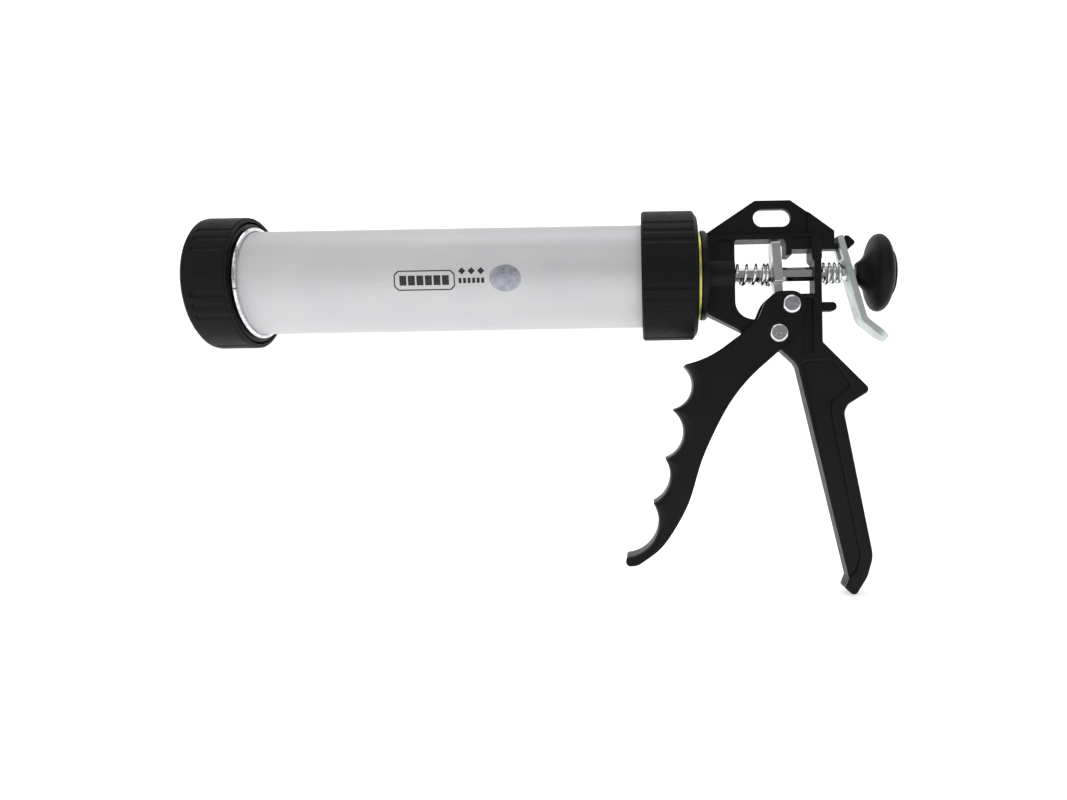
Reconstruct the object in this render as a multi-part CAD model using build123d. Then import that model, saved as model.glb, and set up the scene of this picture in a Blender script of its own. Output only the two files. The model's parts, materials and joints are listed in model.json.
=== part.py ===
from build123d import *
from math import cos, radians, sin, tan
import os

# Closed-barrel caulking gun: a swivelling aluminium barrel with screwed plastic ends,
# on a cast frame with a rear handle, a fork trigger and a hexagonal push rod.
# Millimetres.  +X runs from the nozzle end to the pull knob and +Z up to the hanging slot.
# The origin is the centre of the nozzle bore, on the front cap's outer face.

# ---- barrel -----------------------------------------------------------------------------
TUBE_R = 25.0
TUBE_WALL = 1.5
TUBE_BORE_R = TUBE_R - TUBE_WALL
NOZZLE_R = 10.0

CAP_LENGTH = 20.7
CAP_R = 31.8
CAP_WALL = 3.5
GASKET_X = (CAP_WALL, CAP_WALL + 2.0)
TUBE_X = (CAP_WALL + 2.2, 233.4)

RING_X = (210.9, 237.6)
RING_R = 31.5
RING_END_WALL = 4.0

COLLAR_CREST_R = 29.4
COLLAR_ROOT_R = 28.7
THREAD_PITCH = 3.0
THREAD_GAP = 0.35
SNUG = 0.02

SNAP_WIRE_R = 1.2
SNAP_X = 22.15
SNAP_R = 25.9

FLUTE_R = 3.2
FLUTE_DEPTH = 0.45
FLUTE_STEP = 10.0
FLUTE_GROUP_STEP = 60.0
FLUTE_FIRST = 27.0

# ---- frame ------------------------------------------------------------------------------
FRAME_HALF = 6.3
HANGER_HALF = 1.75
ARM_HALF = 3.0
PANEL_DEPTH = 1.2
HANDLE_TOP_Z = -34.0
HANDLE_EDGE_R = 1.0
FLANGE_X = (239.2, 242.8)
FLANGE_R = 22.0
BOSS_END_X = 256.2
BOSS_R = 8.85
SPIGOT_X = 230.0
SPIGOT_R = 9.0
WALL_X = (294.9, 298.6)
WASHER_X = (RING_X[1] + 0.1, FLANGE_X[0])
WASHER_R = 21.25
THRUST_X = (232.2, 233.4)
THRUST_R = 15.0
CLIP_X = (230.9, 232.1)
CLIP_R = (8.2, 11.6)

# ---- rod and piston ---------------------------------------------------------------------
ROD_FLATS = 6.0
ROD_X = (29.0, 316.2)
ROD_STUB_R = 3.0
ROD_FRONT_X = 13.5
ROD_REAR_X = 328.0
ROD_CLEARANCE_R = 3.52
KNOB_END_X = 334.5
SEAL_X = (16.0, 27.0)
SEAL_R = 23.2

# ---- trigger and drive ------------------------------------------------------------------
PIVOT = (276.6, -29.6)
DRIVE_PIN = (283.0, -15.7)
CHEEK_HALF = 9.6
FORK_HALF = 6.7
GRIP_HALF = 10.2
GRIP_ROUND_R = 4.2
TIP_TOP = (203.6, -136.6)
CUSP_R = 0.8
PIVOT_R = 3.0
DRIVE_PIN_R = 2.4
RIVET_HEAD_R = 4.55
RIVET_HEAD_H = 1.5
PLATE_T = 4.2
PLATE_TILT = 4.0
PLATE_REAR_X = 279.35
PLATE_HALF = 7.0
PLATE_TAB_HALF = 3.5
PLATE_HOLE_R = 3.75

# ---- release lever and springs ------------------------------------------------------------
LEVER_HINGE = (307.9, 16.4)
LEVER_TILT = 15.5
LEVER_FOOT_TILT = 51.0
LEVER_T = 3.0
LEVER_HALF = 6.8
LEVER_TOP = -1.2
LEVER_SLOT = (1.4, 9.65)
LEVER_BEND = 41.2
LEVER_FOOT = 15.0
LEVER_CORNER_R = 5.0
ROD_HOLE = (8.9, 6.6)
ROD_HOLE_Z = 0.45
SPRING_R = 5.15
DRIVE_WIRE_R = 0.75
DRIVE_SPRING_X = (257.1, 273.7)
DRIVE_TURNS = 4.5
RELEASE_WIRE_R = 0.7
RELEASE_SPRING_X = (299.6, 308.3)
RELEASE_TURNS = 4

BUILD_DIR = "parts"


# ---- helpers ------------------------------------------------------------------------------
def outline(*corners):
    """Closed polygon in the side view.  A corner is (x, z) or, when rounded, (x, z, radius)."""
    face = make_face(Polyline(*[(c[0], c[1]) for c in corners], close=True))
    for x, z, radius in [c for c in corners if len(c) == 3]:
        corner = face.vertices().sort_by_distance((x, z, 0))[0]
        face = fillet(corner, radius)
    return face


def slab(face, half):
    """Side-view outline as a solid, centred on the Y = 0 plane."""
    return extrude(Plane.XZ * face, amount=half, both=True)


def side_pockets(face, half, depth):
    """Side-view outline as two solids that cut `depth` into both faces of a part."""
    body = slab(face, half + 1.0)
    return body - slab(face, half - depth)


def across(x):
    """Plane across the barrel axis at x, with its sketch axes along +Y and +Z."""
    return Plane((x, 0, 0), x_dir=(0, 1, 0), z_dir=(1, 0, 0))


def ring(x0, x1, r_out, r_in=0.0):
    """Disc or ring about the barrel axis."""
    face = Circle(r_out) - Circle(r_in) if r_in else Circle(r_out)
    return extrude(across(x0) * face, amount=x1 - x0)


def turned(*profile):
    """Solid of revolution about the barrel axis from (x, radius) points."""
    face = Plane.XZ * make_face(Polyline(*profile, close=True))
    return revolve(face, Axis.X, 360)


def rod_across(centre, radius, half):
    """Round bar along Y through a point of the side view."""
    return slab(Pos(centre[0], centre[1]) * Circle(radius), half)


def wire_ring(x, radius, wire_r):
    """Ring of round wire about the barrel axis."""
    return revolve(Plane.XZ * Pos(x, radius) * Circle(wire_r), Axis.X, 360)


def threads(x0, x1, r_crest, r_root):
    """Points of a row of thread ridges from x0 to x1, about THREAD_PITCH apart."""
    count = int((x1 - x0) / THREAD_PITCH)
    pitch = (x1 - x0) / count
    points = []
    for i in range(count):
        start = x0 + i * pitch
        points += [(start, r_root), (start + 0.3 * pitch, r_crest)]
        points += [(start + 0.6 * pitch, r_crest), (start + 0.9 * pitch, r_root)]
    return points + [(x1, r_root)]


def flutes(x0, x1, radius):
    """Groups of three finger flutes along the outside of a screwed ring."""
    cutter = None
    for group in range(6):
        for i in (-1, 0, 1):
            angle = FLUTE_FIRST + group * FLUTE_GROUP_STEP + i * FLUTE_STEP
            reach = radius + FLUTE_R - FLUTE_DEPTH
            centre = Pos(reach * cos(radians(angle)), reach * sin(radians(angle)))
            groove = extrude(across(x0) * centre * Circle(FLUTE_R), amount=x1 - x0)
            cutter = groove if cutter is None else cutter + groove
    return cutter


def coil(x0, x1, wire_r, turns):
    """Compression spring along the rod."""
    pitch = (x1 - x0) / turns
    path = Plane((x0, 0, 0), x_dir=(0, 1, 0), z_dir=(1, 0, 0)) * Helix(pitch, x1 - x0, SPRING_R)
    section = Plane(path @ 0, z_dir=path % 0) * Circle(wire_r)
    return sweep(section, path)


def rivet(centre, shank_r, half):
    """Rivet along Y with a domed head on each side."""
    shank = rod_across(centre, shank_r, half)
    head = Cylinder(RIVET_HEAD_R, RIVET_HEAD_H, align=(Align.CENTER, Align.CENTER, Align.MIN))
    head = fillet(head.edges().group_by(Axis.Z)[-1], 0.85 * RIVET_HEAD_H)
    near = Plane((centre[0], -half, centre[1]), z_dir=(0, -1, 0)) * head
    far = Plane((centre[0], half, centre[1]), z_dir=(0, 1, 0)) * head
    return shank + near + far


# ---- barrel pieces --------------------------------------------------------------------------
def barrel_tube():
    tube = ring(*TUBE_X, TUBE_R, TUBE_BORE_R)
    return tube - wire_ring(SNAP_X, SNAP_R, SNAP_WIRE_R + SNUG)


def threaded_collar(x0, x1):
    """Ring on the tube's end, with the outside thread that the plastic ring screws on."""
    inner = TUBE_R + SNUG
    return turned((x0, inner), *threads(x0, x1, COLLAR_CREST_R, COLLAR_ROOT_R), (x1, inner))


def front_snap_ring():
    """Split ring of round wire in the tube's groove, behind the front collar."""
    gap_width = 0.8
    gap = Rot(13, 0, 0) * Pos(SNAP_X, -SNAP_R, 0) * Box(8, 8, gap_width)
    return wire_ring(SNAP_X, SNAP_R, SNAP_WIRE_R) - gap


def front_cap():
    """Screwed cap with a stepped rim, the nozzle bore and an inside thread."""
    root = COLLAR_CREST_R + THREAD_GAP
    crest = COLLAR_CREST_R + THREAD_GAP + 0.6
    x0 = GASKET_X[1]
    seat_r = 27.5
    body = turned(
        (0, NOZZLE_R), (0, CAP_R - 1.6), (1.2, CAP_R - 0.3), (2.4, CAP_R),
        (CAP_LENGTH - 0.7, CAP_R), (CAP_LENGTH, CAP_R - 0.7),
        (CAP_LENGTH, root), *reversed(threads(x0, CAP_LENGTH - 0.8, crest, root)),
        (x0, seat_r), (CAP_WALL, seat_r), (CAP_WALL, NOZZLE_R),
    )
    return body - flutes(4.5, CAP_LENGTH + 1, CAP_R)


def nozzle_gasket():
    return ring(*GASKET_X, 27.4, 18.0)


def rear_ring():
    """Screwed ring that holds the barrel to the frame, turning on the frame's spigot."""
    inner = COLLAR_CREST_R + 0.1
    wall = RING_X[1] - RING_END_WALL
    body = turned(
        (RING_X[0], TUBE_R + 0.3), (RING_X[0], RING_R - 1.0), (RING_X[0] + 1.0, RING_R),
        (RING_X[1] - 2.2, RING_R), (RING_X[1], RING_R - 3.0), (RING_X[1], SPIGOT_R + 0.06),
        (wall, SPIGOT_R + 0.06), (wall, inner), (RING_X[0] + 2.0, inner),
        (RING_X[0] + 2.0, TUBE_R + 0.3),
    )
    return body - flutes(RING_X[0] - 1, RING_X[1] - 1.2, RING_R)


# ---- frame pieces -----------------------------------------------------------------------------
def frame_web():
    """Side outline of the casting below the hanger: block, lower arm, wall and handle."""
    return outline(
        (241.5, 18.8), (WALL_X[1], 18.8), (WALL_X[1], HANDLE_TOP_Z, 2.0), (321.8, -57.8, 2.4),
        (310.2, -64.8, 5.0), (308.4, -68.6, 6.0), (321.4, -139.0, 14.0), (318.4, -149.0, 12.0),
        (312.2, -158.6, 2.2), (307.4, -154.4, 1.2), (309.4, -149.5, 1.2), (286.0, -45.0, 8.0),
        (279.0, -38.3, 5.0), (241.5, -19.0),
    )


def frame_window():
    """Opening round the drive plate, with the stop lug hanging from its top edge."""
    return outline(
        (BOSS_END_X, 16.3, 1.5), (280.2, 16.3, 1.2), (281.2, 14.6), (281.2, 8.4, 0.6),
        (284.0, 8.4, 0.6), (284.0, 11.2), (WALL_X[0], 11.2, 0.8), (WALL_X[0], -10.4, 0.8),
        (286.4, -10.4, 0.8), (286.4, -20.4, 2.0), (282.6, -18.8), (PIVOT[0], -18.6),
        (270.6, -18.9), (265.6, -22.9, 4.0), (BOSS_END_X, -20.0, 8.5),
    )


def frame_hanger():
    """Thin top plate with the hanging slot."""
    plate = outline(
        (242.4, 17.5), (242.4, 20.3, 1.0), (266.9, 36.3, 1.5), (284.5, 36.3, 1.5),
        (294.1, 29.4, 3.0), (300.0, 25.0), (300.0, 17.5),
    )
    return slab(plate - Pos(275.3, 27.7) * SlotOverall(18.5, 8.7), HANGER_HALF)


def frame_arm():
    """Rear arm with the notch and nose that the release lever hangs on."""
    notch_z = 14.4
    return slab(outline(
        (292.6, 11.6), (292.6, 30.4), (294.1, 29.4, 3.0), (305.7, 20.7, 0.6),
        (305.7, notch_z, 0.6), (310.5, notch_z, 0.6), (310.5, 18.5, 1.0), (312.6, 18.2, 1.2),
        (316.2, 14.8, 1.3), (312.6, 11.6, 1.0),
    ), ARM_HALF)


def frame_lever_stop():
    """Short round-ended peg behind the wall that stops the release lever."""
    centre_z = -16.5
    radius = 2.2
    length = 9.6
    return slab(Pos(WALL_X[1] - 2.0 + length / 2, centre_z) * SlotOverall(length, 2 * radius), 3.2)


def frame_ribs():
    """Raised rib along the wall, round-ended, on both sides."""
    wall_rib = Pos((WALL_X[0] + WALL_X[1]) / 2 - 0.6, 12.0) * SlotOverall(14.0, 5.0, rotation=90)
    return slab(wall_rib, FRAME_HALF + 0.5)


def frame_panels():
    """Recessed panels in both sides of the casting."""
    handle = outline(
        (288.6, -43.4, 2.0), (303.4, -43.4, 3.0), (312.6, -55.4, 3.0), (302.4, -62.4, 5.0),
        (301.9, -68.6, 6.0), (315.0, -138.6, 10.0), (312.6, -146.4, 8.0), (307.6, -150.6, 1.0),
    )
    upper = outline(
        (284.4, 12.0), (284.4, 17.4, 0.8), (293.2, 17.4, 0.8), (293.2, 12.0),
    )
    block = outline(
        (247.0, 10.4, 1.6), (247.0, 16.4, 1.6), (255.0, 16.4, 0.8), (255.0, 10.4, 0.8),
    )
    foot = outline(
        (289.2, -12.6, 1.0), (293.8, -12.6, 1.0), (293.8, -39.0, 1.0), (289.2, -39.0, 1.0),
    )
    cutter = None
    for face in (handle, upper, block, foot):
        pocket = side_pockets(face, FRAME_HALF, PANEL_DEPTH)
        cutter = pocket if cutter is None else cutter + pocket
    return cutter


def handle_edges(body):
    """Outer and panel edges of the handle, on both side faces."""
    edges = body.edges().filter_by(lambda e: abs(abs(e.center().Y) - FRAME_HALF) < 0.01)
    return edges.filter_by(lambda e: e.center().Z < HANDLE_TOP_Z)


def frame():
    web = slab(frame_web() - frame_window(), FRAME_HALF)
    flange = turned(
        (FLANGE_X[0], 0), (FLANGE_X[0], FLANGE_R - 0.6), (FLANGE_X[0] + 0.6, FLANGE_R),
        (FLANGE_X[1] - 1.2, FLANGE_R), (FLANGE_X[1], FLANGE_R - 1.2), (FLANGE_X[1], 0),
    )
    boss = ring(FLANGE_X[0], BOSS_END_X, BOSS_R)
    spigot = ring(SPIGOT_X, FLANGE_X[0], SPIGOT_R) - ring(*CLIP_X, SPIGOT_R + 1, CLIP_R[0] - SNUG)
    body = web - frame_panels() + flange + boss + spigot
    body += frame_hanger() + frame_arm() + frame_lever_stop() + frame_ribs()
    body -= rod_across(PIVOT, PIVOT_R + 0.05, FRAME_HALF + 1)
    body -= ring(SPIGOT_X - 1, BOSS_END_X + 1, ROD_CLEARANCE_R)
    body -= ring(WALL_X[0] - 1, WALL_X[1] + 1, ROD_CLEARANCE_R)
    return fillet(handle_edges(body), HANDLE_EDGE_R)


def flange_washer():
    return ring(*WASHER_X, WASHER_R, SPIGOT_R + SNUG)


def thrust_washer():
    return ring(*THRUST_X, THRUST_R, SPIGOT_R + SNUG)


def spigot_clip():
    """C-shaped retaining ring with two eyes, in the groove of the frame's spigot."""
    length = CLIP_X[1] - CLIP_X[0]
    eye_y = 3.4
    eye_z = CLIP_R[1] - 0.4
    face = Circle(CLIP_R[1]) - Circle(CLIP_R[0]) - Pos(0, CLIP_R[1]) * Rectangle(3.4, CLIP_R[1] * 2)
    for side in (-1, 1):
        face += Pos(side * eye_y, eye_z) * Circle(2.2)
    face -= Circle(CLIP_R[0])
    for side in (-1, 1):
        face -= Pos(side * eye_y, eye_z) * Circle(0.8)
    return extrude(across(CLIP_X[0]) * face, amount=length)


# ---- rod and piston -----------------------------------------------------------------------------
def push_rod():
    """Hexagonal rod with its flats on the sides and a threaded stub at each end."""
    hexagon = RegularPolygon(ROD_FLATS / 2, 6, major_radius=False, rotation=30)
    bar = extrude(across(ROD_X[0]) * hexagon, amount=ROD_X[1] - ROD_X[0])
    return bar + ring(ROD_FRONT_X, ROD_X[0], ROD_STUB_R) + ring(ROD_X[1], ROD_REAR_X, ROD_STUB_R)


def pull_knob():
    """Mushroom knob screwed on the rod's rear stub."""
    x0 = ROD_X[1]
    line = [
        Line((x0, 0), (x0, 4.4)),
        Spline((x0, 4.4), (318.0, 6.0), (320.8, 9.0), (322.8, 13.6), (324.0, 16.8), (326.6, 19.0),
               tangents=((0.4, 1), (1, 0.25))),
        Spline((326.6, 19.0), (330.2, 17.7), (332.8, 12.0), (KNOB_END_X, 0),
               tangents=((1, 0.25), (0, -1))),
        Line((KNOB_END_X, 0), (x0, 0)),
    ]
    body = revolve(Plane.XZ * make_face(Curve() + line), Axis.X, 360)
    return body - ring(x0 - 1, ROD_REAR_X + 0.5, ROD_STUB_R + SNUG)


def piston_seal():
    """Plastic cup whose lip wipes the barrel."""
    lip = 2.4
    floor_x = 21.4
    return turned(
        (SEAL_X[0], SEAL_R), (SEAL_X[0], SEAL_R - 1.2), (floor_x, SEAL_R - lip),
        (floor_x, ROD_STUB_R + SNUG), (SEAL_X[1], ROD_STUB_R + SNUG), (SEAL_X[1], SEAL_R - 1.6),
        (SEAL_X[1] - 2.0, SEAL_R - 1.6), (SEAL_X[1] - 3.0, SEAL_R), (SEAL_X[0] + 1.0, SEAL_R),
    )


def piston_front_washer():
    return ring(19.9, 21.4, 15.0, ROD_STUB_R + SNUG)


def piston_back_plate():
    return ring(SEAL_X[1], ROD_X[0], 20.5, ROD_STUB_R + SNUG)


def piston_nut():
    """Hexagon nut on the rod's front stub."""
    face = RegularPolygon(5.0, 6, major_radius=False) - Circle(ROD_STUB_R + SNUG)
    return extrude(across(14.9) * face, amount=5.0)


# ---- trigger and drive ----------------------------------------------------------------------------
def finger_arcs():
    """Side-view arcs of the three finger grooves and the long hollow above the tip."""
    cusps = [(229.9, -44.3), (224.1, -65.7), (220.6, -89.6), (214.4, -111.0), TIP_TOP]
    middles = [(234.5, -56.2), (230.0, -78.2), (222.8, -100.8), (215.4, -127.4)]
    return [ThreePointArc(cusps[i], middle, cusps[i + 1]) for i, middle in enumerate(middles)]


def trigger_outline():
    """Side view of the trigger: rivet head, finger grooves down the front, swept tip."""
    head_top = (279.6, -9.3)
    head_left = (266.3, -22.9)
    head_right = (287.6, -11.0)
    neck = (285.6, -27.4)
    heel = (276.3, -38.5)
    shoulder = (259.6, -29.0)
    tip = (200.9, -138.9)
    tip_bottom = (203.4, -140.9)
    grooves = finger_arcs()
    line = [
        Spline(head_left, (270.4, -14.6), (274.0, -10.9), head_top, tangents=((0.6, 0.8), (1, 0.0))),
        Spline(head_top, (284.4, -9.4), head_right, (289.4, -16.0), neck, tangents=((1, 0), (-0.4, -1))),
        Line(neck, heel),
        Spline(heel, (264.1, -49.0), (252.4, -62.9), (243.6, -78.7), (237.7, -92.2),
               (232.0, -110.0), (224.8, -123.4), (216.4, -133.9), (209.4, -138.9), tip_bottom,
               tangents=((-0.76, -0.65), (-1, 0.05))),
        ThreePointArc(tip_bottom, tip, TIP_TOP),
        Line(head_left, shoulder),
        Spline(shoulder, (249.7, -36.1), (242.2, -40.4), grooves[0] @ 0,
               tangents=((-0.83, -0.55), (-0.97, -0.2))),
    ]
    face = make_face(Curve() + line + grooves)
    for groove in grooves:
        start = groove @ 0
        cusp = face.vertices().sort_by_distance((start.X, start.Y, 0))[0]
        face = fillet(cusp, CUSP_R)
    return face


def groove_rounding(arc):
    """Cutter that rounds both side edges of one finger groove."""
    centre = arc.arc_center
    size = GRIP_ROUND_R + 1.0
    corner = Pos(arc.radius - 1.0 + size / 2, GRIP_HALF + 1.0 - size / 2) * Rectangle(size, size)
    corner -= Pos(arc.radius + GRIP_ROUND_R, GRIP_HALF - GRIP_ROUND_R) * Circle(GRIP_ROUND_R)
    origin = (centre.X, 0, centre.Y)
    section = Plane(origin, x_dir=(1, 0, 0), z_dir=(0, 0, 1)) * (corner + mirror(corner, Plane.XZ))
    return revolve(section, Axis(origin, (0, 1, 0)), 360)


def trigger():
    """Fork with two cheeks over the frame and a finger-grooved grip, hollow at the back."""
    side = trigger_outline()
    step = [(235.0, -24.6), (251.4, -36.2), (263.9, -45.0), (300.0, -70.4)]
    head = outline(*step, (300.0, 0), (235.0, 0))
    hollow = outline(
        (262.0, -43.5), (251.8, -45.0, 3.0), (240.6, -61.0, 6.0), (235.4, -78.0, 6.0),
        (229.6, -97.5, 6.0), (223.4, -114.0, 6.0), (221.4, -124.0, 3.0), (222.6, -131.0),
        (280.0, -100.0), (280.0, -43.5),
    )
    body = slab(side - head, GRIP_HALF) + slab(side & head, CHEEK_HALF)
    for arc in finger_arcs():
        body -= groove_rounding(arc)
    body -= slab(head, FORK_HALF) + slab(hollow, FORK_HALF)
    body -= rod_across(PIVOT, PIVOT_R + SNUG, CHEEK_HALF + 1)
    return body - rod_across(DRIVE_PIN, DRIVE_PIN_R + SNUG, CHEEK_HALF + 1)


def pivot_rivet():
    return rivet(PIVOT, PIVOT_R, CHEEK_HALF)


def drive_pin():
    return rivet(DRIVE_PIN, DRIVE_PIN_R, CHEEK_HALF)


def drive_plate():
    """Gripping plate, leaning forward on the rod, with a tab in front of the drive pin."""
    face = outline((-PLATE_HALF, -4.6, 1.0), (-PLATE_HALF, 15.5, 1.0), (PLATE_HALF, 15.5, 1.0),
                   (PLATE_HALF, -4.6, 1.0), (PLATE_TAB_HALF, -4.6), (PLATE_TAB_HALF, -17.5, 1.0),
                   (-PLATE_TAB_HALF, -17.5, 1.0), (-PLATE_TAB_HALF, -4.6))
    plate = extrude(across(-PLATE_T) * (face - Circle(PLATE_HOLE_R)), amount=PLATE_T)
    return Pos(PLATE_REAR_X, 0, 0) * Rot(0, -PLATE_TILT, 0) * plate


def drive_spring():
    return coil(*DRIVE_SPRING_X, DRIVE_WIRE_R, DRIVE_TURNS)


# ---- release lever ----------------------------------------------------------------------------------
def lever_point(along, off):
    """Side-view point on the lever: `along` down from its hinge, `off` behind its middle."""
    tilt = radians(LEVER_TILT)
    x = LEVER_HINGE[0] + along * sin(tilt) + off * cos(tilt)
    return (x, LEVER_HINGE[1] - along * cos(tilt) + off * sin(tilt))


def foot_point(along, off):
    """Side-view point on the lever's bent foot."""
    bend_x, bend_z = lever_point(LEVER_BEND, 0)
    tilt = radians(LEVER_FOOT_TILT)
    return (bend_x + along * sin(tilt) + off * cos(tilt), bend_z - along * cos(tilt) + off * sin(tilt))


def release_lever():
    """Bent steel lever: slotted over the frame's nose, holed for the rod, with a thumb foot."""
    half = LEVER_T / 2
    shift = half * tan(radians((LEVER_FOOT_TILT - LEVER_TILT) / 2))
    side = outline(
        lever_point(LEVER_TOP, -half), (*lever_point(LEVER_BEND + shift, -half), 7.0),
        foot_point(LEVER_FOOT, -half), foot_point(LEVER_FOOT, half),
        (*lever_point(LEVER_BEND - shift, half), 4.0), lever_point(LEVER_TOP, half),
    )
    body = slab(side, LEVER_HALF)
    slot = slab(outline(
        lever_point(LEVER_SLOT[0], -4), lever_point(LEVER_SLOT[1], -4),
        lever_point(LEVER_SLOT[1], 4), lever_point(LEVER_SLOT[0], 4),
    ), ARM_HALF + 0.4)
    foot_x, foot_z = foot_point(LEVER_FOOT, 0)
    for side in (-LEVER_HALF, LEVER_HALF):
        corner = body.edges().sort_by_distance((foot_x, side, foot_z))[0]
        body = fillet(corner, LEVER_CORNER_R)
    rod_hole = Pos(0, ROD_HOLE_Z) * SlotOverall(*ROD_HOLE, rotation=90)
    return body - slot - extrude(across(LEVER_HINGE[0]) * rod_hole, amount=10)


def release_spring():
    return coil(*RELEASE_SPRING_X, RELEASE_WIRE_R, RELEASE_TURNS)


# ---- writing ------------------------------------------------------------------------------------------
PARTS = {
    "barrel_tube": barrel_tube,
    "front_collar": lambda: threaded_collar(TUBE_X[0] + 0.5, SNAP_X - SNAP_WIRE_R - 0.05),
    "rear_collar": lambda: threaded_collar(RING_X[0] + 2.6, TUBE_X[1] - 0.3),
    "front_snap_ring": front_snap_ring,
    "front_cap": front_cap,
    "nozzle_gasket": nozzle_gasket,
    "rear_ring": rear_ring,
    "frame": frame,
    "flange_washer": flange_washer,
    "thrust_washer": thrust_washer,
    "spigot_clip": spigot_clip,
    "push_rod": push_rod,
    "pull_knob": pull_knob,
    "piston_seal": piston_seal,
    "piston_front_washer": piston_front_washer,
    "piston_back_plate": piston_back_plate,
    "piston_nut": piston_nut,
    "trigger": trigger,
    "pivot_rivet": pivot_rivet,
    "drive_pin": drive_pin,
    "drive_plate": drive_plate,
    "drive_spring": drive_spring,
    "release_lever": release_lever,
    "release_spring": release_spring,
}

os.makedirs(BUILD_DIR, exist_ok=True)
for name, make in PARTS.items():
    export_step(make(), f"{BUILD_DIR}/{name}.step")
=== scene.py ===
"""Looks of the closed-barrel caulking gun: studio, materials, and the pieces made in mesh code."""
import json
from math import cos, pi, radians, sin

import bmesh
import bpy
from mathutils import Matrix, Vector


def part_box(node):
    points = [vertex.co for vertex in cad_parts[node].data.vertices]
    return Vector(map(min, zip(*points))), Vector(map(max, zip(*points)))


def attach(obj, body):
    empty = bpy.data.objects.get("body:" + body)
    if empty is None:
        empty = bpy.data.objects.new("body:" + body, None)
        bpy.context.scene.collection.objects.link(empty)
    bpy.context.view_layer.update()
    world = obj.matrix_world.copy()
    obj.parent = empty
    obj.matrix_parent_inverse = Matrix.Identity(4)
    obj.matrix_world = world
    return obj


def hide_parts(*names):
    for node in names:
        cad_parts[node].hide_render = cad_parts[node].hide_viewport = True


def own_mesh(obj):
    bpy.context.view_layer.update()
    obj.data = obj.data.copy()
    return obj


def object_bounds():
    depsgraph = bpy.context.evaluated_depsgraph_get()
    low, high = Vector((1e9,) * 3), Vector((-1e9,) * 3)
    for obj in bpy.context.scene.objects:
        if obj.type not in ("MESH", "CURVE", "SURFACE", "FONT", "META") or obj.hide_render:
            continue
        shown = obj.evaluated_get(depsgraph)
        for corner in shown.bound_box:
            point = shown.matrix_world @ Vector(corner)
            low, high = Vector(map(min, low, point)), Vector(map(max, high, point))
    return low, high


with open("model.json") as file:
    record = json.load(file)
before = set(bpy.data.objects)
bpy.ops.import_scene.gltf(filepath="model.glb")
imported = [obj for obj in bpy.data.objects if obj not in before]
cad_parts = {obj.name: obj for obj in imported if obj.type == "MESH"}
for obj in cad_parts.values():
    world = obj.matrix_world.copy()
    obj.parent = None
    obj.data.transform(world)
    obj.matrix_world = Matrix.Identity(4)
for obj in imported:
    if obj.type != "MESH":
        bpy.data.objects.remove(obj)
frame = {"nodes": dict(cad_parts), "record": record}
cad_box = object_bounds()
record = frame["record"]
MM = 0.001

# Camera: straight-on view along +Y, its optical axis under the barrel's rear half.
LENS_MM = 27.0
LENS_SHIFT = -0.109
CAMERA_AT = (213.7 * MM, -395.7 * MM, -60.9 * MM)
CAMERA_ROLL = radians(1.0)

# Studio sweep: a floor that curves up into a wall, in metres from the gun's plane.
FLOOR_FRONT = -2.5
WALL_Y = 1.4
WALL_TOP = 2.6
SWEEP_RADIUS = 0.5
SWEEP_HALF = 5.0
SWEEP_STEPS = 12
FLOOR_GAP = 0.5 * MM
WORLD_STRENGTH = 0.22

# Springs: wire radii a little over the CAD coils', and the share of length left when pressed.
DRIVE_WIRE = 0.85 * MM
DRIVE_TURNS = 4.7
RELEASE_WIRE = 0.78 * MM
RELEASE_TURNS = 3.3
RELEASE_LEAN = 0.14
RELEASE_REACH = 0.6 * MM
DRIVE_KEEP = 0.62
RELEASE_KEEP = 0.60
COIL_STEPS = 28
WIRE_SIDES = 12

# Barrel markings, in mm: x along the barrel, arc upwards round its near side.
BORDER_X = (96.0, 124.3)
BORDER_ARC = (-8.3, 1.0)
BORDER_CUT = 1.9
BORDER_LINE = 0.55
CORNER_SHARE = 0.42
LARGE_X = 98.6
LARGE_PITCH = 3.95
LARGE_BLOCK = (-5.9, 3.2, 4.5)
SMALL_X = 126.0
SMALL_PITCH = 2.1
SMALL_BLOCK = (-5.2, 1.4, 2.4)
DIAMOND_X = 127.6
DIAMOND_PITCH = 4.4
DIAMOND = (0.4, 1.7)
DISC_CENTRE = (147.6, -3.2)
DISC_REACH = (7.4, 6.3)
DISC_SIDES = 36
FILM_SINK = 0.01 * MM
INK_THICK = 0.02 * MM
FOIL_THICK = 0.05 * MM

# Widths of the small edge roundings on the CAD nodes, in mm.
EDGE_WIDTHS = {"trigger": 0.5, "frame": 0.35, "release_lever": 0.35, "drive_plate": 0.3}


# ---- small helpers ---------------------------------------------------------------------------
def link(obj):
    """Puts an object in the scene and returns it."""
    bpy.context.scene.collection.objects.link(obj)
    return obj


def mesh_object(name, verts, faces, smooth=True):
    """New mesh object from points in metres, with outward normals."""
    mesh = bpy.data.meshes.new(name)
    mesh.from_pydata([tuple(v) for v in verts], [], faces)
    shape = bmesh.new()
    shape.from_mesh(mesh)
    bmesh.ops.recalc_face_normals(shape, faces=shape.faces)
    shape.to_mesh(mesh)
    shape.free()
    mesh.polygons.foreach_set("use_smooth", [smooth] * len(mesh.polygons))
    return link(bpy.data.objects.new(name, mesh))


def paint(obj, material):
    obj.data.materials.clear()
    obj.data.materials.append(material)


def lerp(a, b, t):
    return a + (b - a) * t


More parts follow.
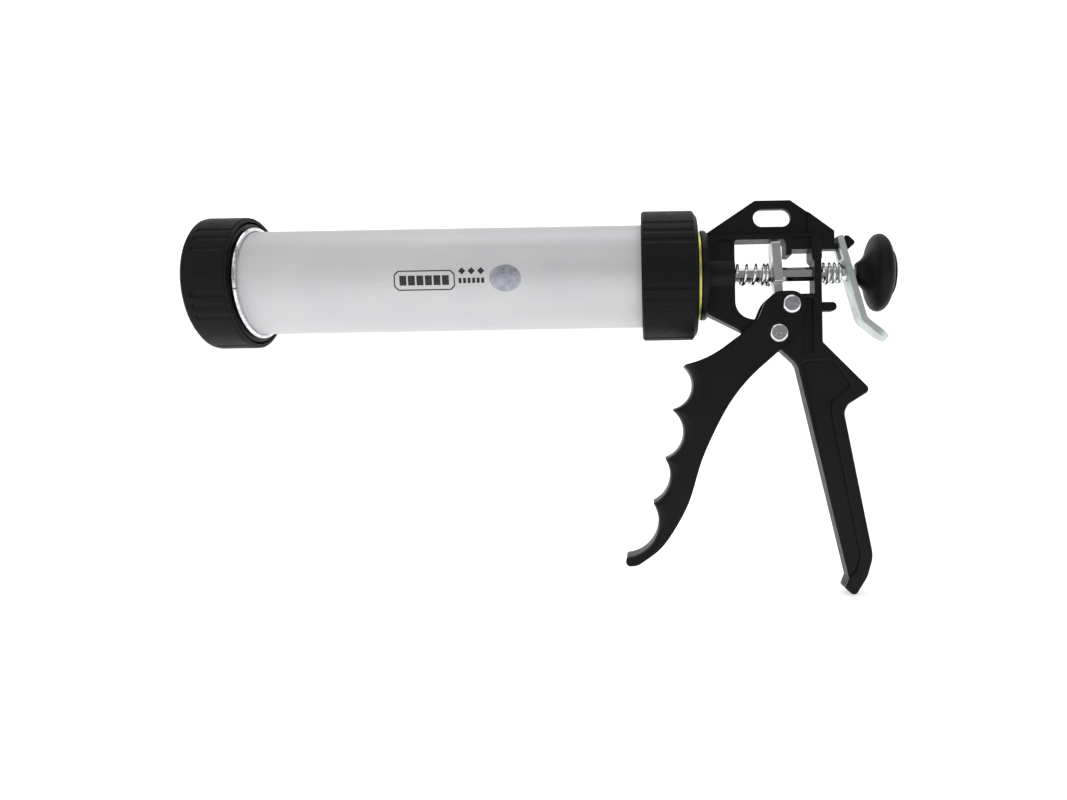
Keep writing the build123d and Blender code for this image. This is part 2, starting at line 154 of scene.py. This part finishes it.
# ---- materials -------------------------------------------------------------------------------
class Shader:
    """A Principled material and the few nodes that its surface detail needs."""

    def __init__(self, name, color, roughness, metallic=0.0, **sockets):
        self.material = bpy.data.materials.new(name)
        self.material.use_nodes = True
        self.tree = self.material.node_tree
        self.surface = self.tree.nodes["Principled BSDF"]
        self.surface.inputs["Base Color"].default_value = (*color, 1)
        self.surface.inputs["Roughness"].default_value = roughness
        self.surface.inputs["Metallic"].default_value = metallic
        for socket, value in sockets.items():
            self.surface.inputs[socket.replace("_", " ")].default_value = value
        self.coords = self.node("ShaderNodeTexCoord").outputs["Object"]

    def node(self, kind, **inputs):
        node = self.tree.nodes.new(kind)
        for name, value in inputs.items():
            self.feed(node.inputs[name.replace("_", " ")], value)
        return node

    def feed(self, socket, value):
        if isinstance(value, bpy.types.NodeSocket):
            self.tree.links.new(value, socket)
        else:
            socket.default_value = value

    def noise(self, scale, stretch=(1, 1, 1), detail=4.0, rough=0.55):
        """Noise in the part's own coordinates; scale is in features per metre."""
        mapping = self.node("ShaderNodeMapping", Vector=self.coords, Scale=stretch)
        noise = self.node("ShaderNodeTexNoise", Vector=mapping.outputs["Vector"], Scale=scale,
                          Detail=detail, Roughness=rough)
        return noise.outputs["Fac"]

    def levels(self, value, low, high, out_low, out_high):
        node = self.node("ShaderNodeMapRange", Value=value)
        limits = {"From Min": low, "From Max": high, "To Min": out_low, "To Max": out_high}
        for name, number in limits.items():
            node.inputs[name].default_value = number
        return node.outputs["Result"]

    def blend(self, factor, first, second, mode="MIX"):
        node = self.node("ShaderNodeMix")
        node.data_type = "RGBA"
        node.blend_type = mode
        self.feed(node.inputs["Factor"], factor)
        self.feed(node.inputs[6], first if isinstance(first, bpy.types.NodeSocket) else (*first, 1))
        self.feed(node.inputs[7], second if isinstance(second, bpy.types.NodeSocket) else (*second, 1))
        return node.outputs[2]

    def bump(self, height, strength, distance, normal=None):
        node = self.node("ShaderNodeBump", Height=height, Strength=strength, Distance=distance)
        if normal:
            self.feed(node.inputs["Normal"], normal)
        return node.outputs["Normal"]

    def set(self, socket, value):
        self.feed(self.surface.inputs[socket], value)


def black_paint():
    """Semi-gloss powder coat on a casting: orange peel, slightly uneven colour and sheen."""
    s = Shader("black_paint", (0.004, 0.004, 0.004), 0.45, Specular_IOR_Level=0.2)
    cloud = s.levels(s.noise(45, detail=3), 0.35, 0.7, 0, 1)
    s.set("Base Color", s.blend(cloud, (0.0025, 0.0025, 0.0026), (0.0045, 0.0045, 0.0047)))
    s.set("Roughness", s.levels(s.noise(260), 0.3, 0.7, 0.38, 0.50))
    peel = s.bump(s.noise(950, detail=2), 0.35, 0.00012)
    s.set("Normal", s.bump(s.noise(70, detail=1), 0.08, 0.0005, peel))
    return s.material


def moulded_plastic(name, color, light, roughness=0.5):
    """Matt spark-eroded moulding: fine grain and slightly uneven sheen."""
    s = Shader(name, color, roughness, Specular_IOR_Level=0.12)
    s.set("Base Color", s.blend(s.levels(s.noise(60, detail=3), 0.35, 0.7, 0, 1), color, light))
    s.set("Roughness", s.levels(s.noise(340), 0.3, 0.7, roughness - 0.06, roughness + 0.08))
    grain = s.bump(s.noise(2600, detail=2), 0.35, 0.00008)
    s.set("Normal", s.bump(s.noise(180, detail=2), 0.12, 0.0004, grain))
    return s.material


def barrel_aluminium():
    """Frosted anodised tube: fine lines along its length and faint clouds."""
    s = Shader("barrel_aluminium", (0.60, 0.605, 0.615), 0.5, 0.45)
    lines = s.noise(9, stretch=(1, 150, 150), detail=5, rough=0.7)
    cloud = s.noise(28, detail=3)
    tint = s.blend(s.levels(cloud, 0.35, 0.7, 0, 1), (0.585, 0.59, 0.60), (0.63, 0.633, 0.64))
    s.set("Base Color", s.blend(s.levels(lines, 0.3, 0.7, 0, 0.10), tint, (0.50, 0.50, 0.51)))
    s.set("Roughness", s.levels(lines, 0.3, 0.7, 0.46, 0.58))
    s.set("Normal", s.bump(lines, 0.08, 0.00006))
    return s.material


def metal(name, color, dark, roughness, stretch=(1, 1, 1), scale=200, marks=0.12, bump=0.2):
    """Plated or bare metal with a grain, uneven plating and small marks."""
    s = Shader(name, color, roughness, 1.0)
    grain = s.noise(scale, stretch=stretch, detail=5, rough=0.65)
    cloud = s.noise(70, detail=3)
    tone = s.blend(s.levels(cloud, 0.35, 0.7, 0, 1), color, lerp(Vector(color), Vector(dark), 0.4))
    s.set("Base Color", s.blend(s.levels(grain, 0.45, 0.75, 0, 1), tone, dark))
    s.set("Roughness", s.levels(grain, 0.3, 0.7, roughness - marks * 0.5, roughness + marks))
    s.set("Normal", s.bump(grain, bump, 0.0001))
    return s.material


def rubber():
    """Dull black rubber with a fine grain."""
    s = Shader("black_rubber", (0.02, 0.02, 0.02), 0.75)
    s.set("Roughness", s.levels(s.noise(300), 0.3, 0.7, 0.68, 0.85))
    s.set("Normal", s.bump(s.noise(1500), 0.3, 0.0001))
    return s.material


def printed_ink():
    """Dark screen print with small worn spots."""
    s = Shader("printed_ink", (0.03, 0.03, 0.035), 0.5)
    worn = s.levels(s.noise(1800, detail=2), 0.60, 0.72, 0, 0.5)
    s.set("Base Color", s.blend(worn, (0.010, 0.010, 0.012), (0.15, 0.15, 0.16)))
    s.set("Normal", s.bump(s.noise(2500), 0.1, 0.00005))
    return s.material


def foil():
    """Plain silver foil with a fine cell-like grain."""
    s = Shader("sticker_foil", (0.5, 0.5, 0.53), 0.35, 0.8)
    cell = s.node("ShaderNodeTexVoronoi", Vector=s.coords, Scale=900.0)
    cloud = s.levels(s.noise(260, detail=2), 0.35, 0.65, 0, 1)
    tint = s.blend(cloud, (0.26, 0.29, 0.31), (0.56, 0.52, 0.60))
    grain = s.levels(cell.outputs["Distance"], 0, 0.6, 0, 0.6)
    s.set("Base Color", s.blend(grain, tint, (0.32, 0.34, 0.40)))
    s.set("Roughness", s.levels(s.noise(700), 0.3, 0.7, 0.25, 0.5))
    s.set("Normal", s.bump(cell.outputs["Distance"], 0.25, 0.0001))
    return s.material


def studio_white():
    """Pale floor and backdrop that glow a little, so that they stay evenly white."""
    s = Shader("studio_white", (0.86, 0.86, 0.86), 0.9, Emission_Color=(1, 1, 1, 1), Emission_Strength=0.55)
    s.set("Roughness", s.levels(s.noise(3), 0.3, 0.7, 0.85, 0.95))
    return s.material


MATERIALS = {
    "black_paint": black_paint(),
    "black_plastic": moulded_plastic("black_plastic", (0.005, 0.005, 0.0052), (0.008, 0.008, 0.0083)),
    "knob_plastic": moulded_plastic("knob_plastic", (0.006, 0.006, 0.0062), (0.010, 0.010, 0.0103), 0.45),
    "white_plastic": moulded_plastic("white_plastic", (0.80, 0.79, 0.75), (0.84, 0.83, 0.80), 0.4),
    "barrel_aluminium": barrel_aluminium(),
    "turned_aluminium": metal(
        "turned_aluminium", (0.75, 0.755, 0.76), (0.5, 0.5, 0.51), 0.3, (150, 1, 1), 10),
    "bright_steel": metal(
        "bright_steel", (0.90, 0.91, 0.93), (0.42, 0.43, 0.46), 0.12, (1, 1, 3), 330, bump=0.9),
    "zinc_steel": metal(
        "zinc_steel", (0.66, 0.68, 0.66), (0.30, 0.32, 0.31), 0.30, (1, 1, 0.5), 330, bump=0.8),
    "lever_zinc": metal(
        "lever_zinc", (0.60, 0.65, 0.62), (0.40, 0.45, 0.42), 0.42, (1, 1, 1), 110, bump=0.4),
    "rod_steel": metal(
        "rod_steel", (0.86, 0.86, 0.86), (0.60, 0.60, 0.60), 0.14, (1, 120, 120), 8, bump=0.1),
    "spring_steel": metal(
        "spring_steel", (0.84, 0.85, 0.85), (0.60, 0.61, 0.61), 0.12, scale=160, bump=0.05),
    "yellow_zinc": metal(
        "yellow_zinc", (0.72, 0.72, 0.20), (0.50, 0.50, 0.12), 0.42, scale=220),
    "black_rubber": rubber(),
}
INK = printed_ink()
FOIL = foil()
STUDIO = studio_white()


def dress_cad_nodes():
    """Gives every CAD node its slot's material."""
    for part in record["subparts"]:
        paint(frame["nodes"][part["node"]], MATERIALS[part["material_slot"]])


def soften_edges(node, width, angle=35, segments=2):
    """Small rounded edges on a CAD node: flat triangles are joined, then the edges are bevelled."""
    obj = frame["nodes"][node]
    join = obj.modifiers.new("join_flats", "DECIMATE")
    join.decimate_type = "DISSOLVE"
    join.angle_limit = radians(1.0)
    bevel = obj.modifiers.new("edge_rounding", "BEVEL")
    bevel.width = width
    bevel.segments = segments
    bevel.limit_method = "ANGLE"
    bevel.angle_limit = radians(angle)
    bevel.harden_normals = True
    bevel.use_clamp_overlap = True


# ---- springs -----------------------------------------------------------------------------------
def coil_mesh(name, x_start, x_end, radius, wire, turns, spacing, lean=0.0):
    """Coil spring along the rod.  spacing maps the share of the turns to the share of its length."""
    steps = int(turns * COIL_STEPS)
    sides = WIRE_SIDES
    verts, faces = [], []
    for i in range(steps + 1):
        share = i / steps
        angle = 2 * pi * turns * share
        y, z = -radius * cos(angle), radius * sin(angle)
        x = lerp(x_start, x_end, spacing(share)) - lean * z * share * share
        out = Vector((0, y, z)).normalized()
        for k in range(sides):
            around = 2 * pi * k / sides
            verts.append(Vector((x, y, z)) + wire * (cos(around) * out + sin(around) * Vector((1, 0, 0))))
    for i in range(steps):
        for k in range(sides):
            a, b = i * sides + k, i * sides + (k + 1) % sides
            faces.append((a, b, b + sides, a + sides))
    faces.append(tuple(range(sides)))
    faces.append(tuple(range(steps * sides, (steps + 1) * sides)))
    return mesh_object(name, verts, faces)


def bunched(share):
    """Open turns first, with about two closed turns at the far end."""
    open_share = 0.62
    open_length = 0.80
    if share < open_share:
        return share / open_share * open_length
    return open_length + (share - open_share) / (1 - open_share) * (1 - open_length)


def even(share):
    """The same gap between all turns."""
    return share


def make_springs():
    """Both coils as wire meshes, in place of the CAD coils and attached to the frame."""
    front, front_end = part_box("drive_spring")
    rear, rear_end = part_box("release_spring")
    radius = (front_end.z - front.z) / 2 - DRIVE_WIRE
    drive = coil_mesh("drive_spring_wire", front.x + DRIVE_WIRE, front_end.x - DRIVE_WIRE, radius,
                      DRIVE_WIRE, DRIVE_TURNS, bunched)
    release = coil_mesh("release_spring_wire", rear.x + DRIVE_WIRE, rear_end.x - DRIVE_WIRE + RELEASE_REACH,
                        radius, RELEASE_WIRE, RELEASE_TURNS, even, RELEASE_LEAN)
    springs = (
        (drive, "drive_spring", "plate_drive", front, DRIVE_KEEP),
        (release, "release_spring", "release_press", rear, RELEASE_KEEP),
    )
    for coil, node, joint, start, keep in springs:
        paint(coil, MATERIALS["spring_steel"])
        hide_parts(node)
        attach(coil, "frame")
        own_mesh(coil)


# ---- barrel markings -----------------------------------------------------------------------------
def on_barrel(x, arc, radius):
    """Point on the barrel's near side: arc is the distance round it, upwards from the middle."""
    angle = arc / radius
    return Vector((x, -radius * cos(angle), radius * sin(angle)))


def film(corner_sets, skin, thickness, steps=8):
    """Thin printed or stuck patches: each is four corners (x, arc), wrapped on the barrel."""
    verts, faces = [], []
    rim = [(i, 0) for i in range(steps)] + [(steps, i) for i in range(steps)]
    rim += [(steps - i, steps) for i in range(steps)] + [(0, steps - i) for i in range(steps)]
    for a, b, c, d in corner_sets:
        base = len(verts)
        for radius in (skin - FILM_SINK, skin + thickness):
            for i in range(steps + 1):
                for k in range(steps + 1):
                    u, v = i / steps, k / steps
                    x = lerp(lerp(a[0], b[0], u), lerp(d[0], c[0], u), v)
                    arc = lerp(lerp(a[1], b[1], u), lerp(d[1], c[1], u), v)
                    verts.append(on_barrel(x * MM, arc * MM, radius))
        row = steps + 1
        layer = row * row
        for i in range(steps):
            for k in range(steps):
                p = base + i * row + k
                faces.append((p, p + 1, p + row + 1, p + row))
                faces.append((p + layer, p + layer + row, p + layer + row + 1, p + layer + 1))
        for n, (i, k) in enumerate(rim):
            i2, k2 = rim[(n + 1) % len(rim)]
            p, q = base + i * row + k, base + i2 * row + k2
            faces.append((p, q, q + layer, p + layer))
    return verts, faces


def block(x, arc, width, height):
    """Corners of an upright rectangle."""
    return ((x, arc), (x + width, arc), (x + width, arc + height), (x, arc + height))


def diamond(x, arc, reach):
    """Corners of a square that stands on one corner."""
    return ((x - reach, arc), (x, arc - reach), (x + reach, arc), (x, arc + reach))


def border_ring(inset):
    """Eight corners of the chamfered border, moved in by inset."""
    left, right = BORDER_X[0] + inset, BORDER_X[1] - inset
    low, high = BORDER_ARC[0] + inset, BORDER_ARC[1] - inset
    cut = BORDER_CUT - inset * CORNER_SHARE
    return [
        (left + cut, low), (right - cut, low), (right, low + cut), (right, high - cut),
        (right - cut, high), (left + cut, high), (left, high - cut), (left, low + cut),
    ]


def border():
    """Chamfered rectangle drawn as eight strips."""
    outer, inner = border_ring(0), border_ring(BORDER_LINE)
    return [(outer[i], outer[(i + 1) % 8], inner[(i + 1) % 8], inner[i]) for i in range(8)]


def make_markings():
    """Plain blocks in a border, three diamonds, a row of small blocks, and a foil disc."""
    skin = (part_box("barrel_tube")[1].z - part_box("barrel_tube")[0].z) / 2
    patches = border()
    patches += [block(LARGE_X + LARGE_PITCH * i, *LARGE_BLOCK) for i in range(6)]
    patches += [diamond(DIAMOND_X + DIAMOND_PITCH * i, *DIAMOND) for i in range(3)]
    patches += [block(SMALL_X + SMALL_PITCH * i, *SMALL_BLOCK) for i in range(6)]
    ink = mesh_object("printed_marks", *film(patches, skin, INK_THICK), smooth=False)
    paint(ink, INK)
    angles = [2 * pi * i / DISC_SIDES for i in range(DISC_SIDES + 1)]
    x, arc = DISC_CENTRE
    rim = [(x + DISC_REACH[0] * cos(angle), arc + DISC_REACH[1] * sin(angle)) for angle in angles]
    wedges = [(DISC_CENTRE, rim[i], rim[i + 1], DISC_CENTRE) for i in range(DISC_SIDES)]
    disc = mesh_object("foil_disc", *film(wedges, skin, FOIL_THICK, steps=3), smooth=False)
    weld = disc.modifiers.new("weld", "WELD")
    weld.merge_threshold = 0.005 * MM
    paint(disc, FOIL)
    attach(ink, "barrel")
    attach(disc, "barrel")


# ---- studio --------------------------------------------------------------------------------------
def soft_light(name, place, target, width, height, power):
    """Rectangular area light aimed at a target; sizes in metres, power in watts."""
    light = bpy.data.lights.new(name, "AREA")
    light.shape = "RECTANGLE"
    light.size = width
    light.size_y = height
    light.energy = power
    obj = link(bpy.data.objects.new(name, light))
    obj.location = place
    obj.rotation_euler = (Vector(target) - Vector(place)).to_track_quat("-Z", "Y").to_euler()


def sweep_profile():
    """Side view of the sweep, as (y, height above the floor)."""
    profile = [(FLOOR_FRONT, 0.0)]
    for i in range(SWEEP_STEPS + 1):
        angle = pi / 2 * i / SWEEP_STEPS
        profile.append((WALL_Y - SWEEP_RADIUS * (1 - sin(angle)), SWEEP_RADIUS * (1 - cos(angle))))
    profile.append((WALL_Y, WALL_TOP))
    return profile


def make_sweep():
    """Plain pale floor and backdrop in one curved sheet."""
    floor_z = cad_box[0][2] - FLOOR_GAP
    profile = sweep_profile()
    verts = [(side * SWEEP_HALF, y, floor_z + z) for y, z in profile for side in (-1, 1)]
    faces = [(2 * i, 2 * i + 1, 2 * i + 3, 2 * i + 2) for i in range(len(profile) - 1)]
    sweep = mesh_object("studio_sweep", verts, faces)
    paint(sweep, STUDIO)


def make_lights():
    """Large soft lights round the gun, and an even dim white world."""
    middle = (Vector(cad_box[0]) + Vector(cad_box[1])) / 2
    soft_light("key", (-0.05, -0.8, 0.75), middle, 1.7, 0.5, 2.8)
    soft_light("top", (middle.x, 0.05, 1.15), middle, 1.3, 0.8, 4.6)
    soft_light("right", (1.15, -0.35, 0.35), middle, 0.6, 0.8, 0.8)
    soft_light("left_front", (-0.45, -0.95, 0.15), (0.05, 0, 0), 0.6, 0.5, 1.1)
    soft_light("backdrop", (0, 0.3, 1.5), (0, 1.4, 0.35), 3.4, 0.6, 4)
    world = bpy.data.worlds.new("soft_world")
    bpy.context.scene.world = world
    world.use_nodes = True
    background = world.node_tree.nodes["Background"]
    background.inputs["Color"].default_value = (1.0, 1.0, 1.0, 1)
    background.inputs["Strength"].default_value = WORLD_STRENGTH


def make_camera():
    """Fixed camera that matches the photograph's side view."""
    camera = bpy.data.cameras.new("camera")
    camera.sensor_width = 36.0
    camera.lens = LENS_MM
    camera.shift_x = LENS_SHIFT
    camera.clip_start = 0.01
    obj = link(bpy.data.objects.new("camera", camera))
    obj.location = CAMERA_AT
    obj.rotation_euler = (pi / 2, CAMERA_ROLL, 0)
    bpy.context.scene.camera = obj


bpy.context.scene.view_settings.view_transform = "Standard"
make_camera()
make_sweep()
make_lights()
dress_cad_nodes()
make_springs()
make_markings()
for node, width in EDGE_WIDTHS.items():
    soften_edges(node, width * MM)
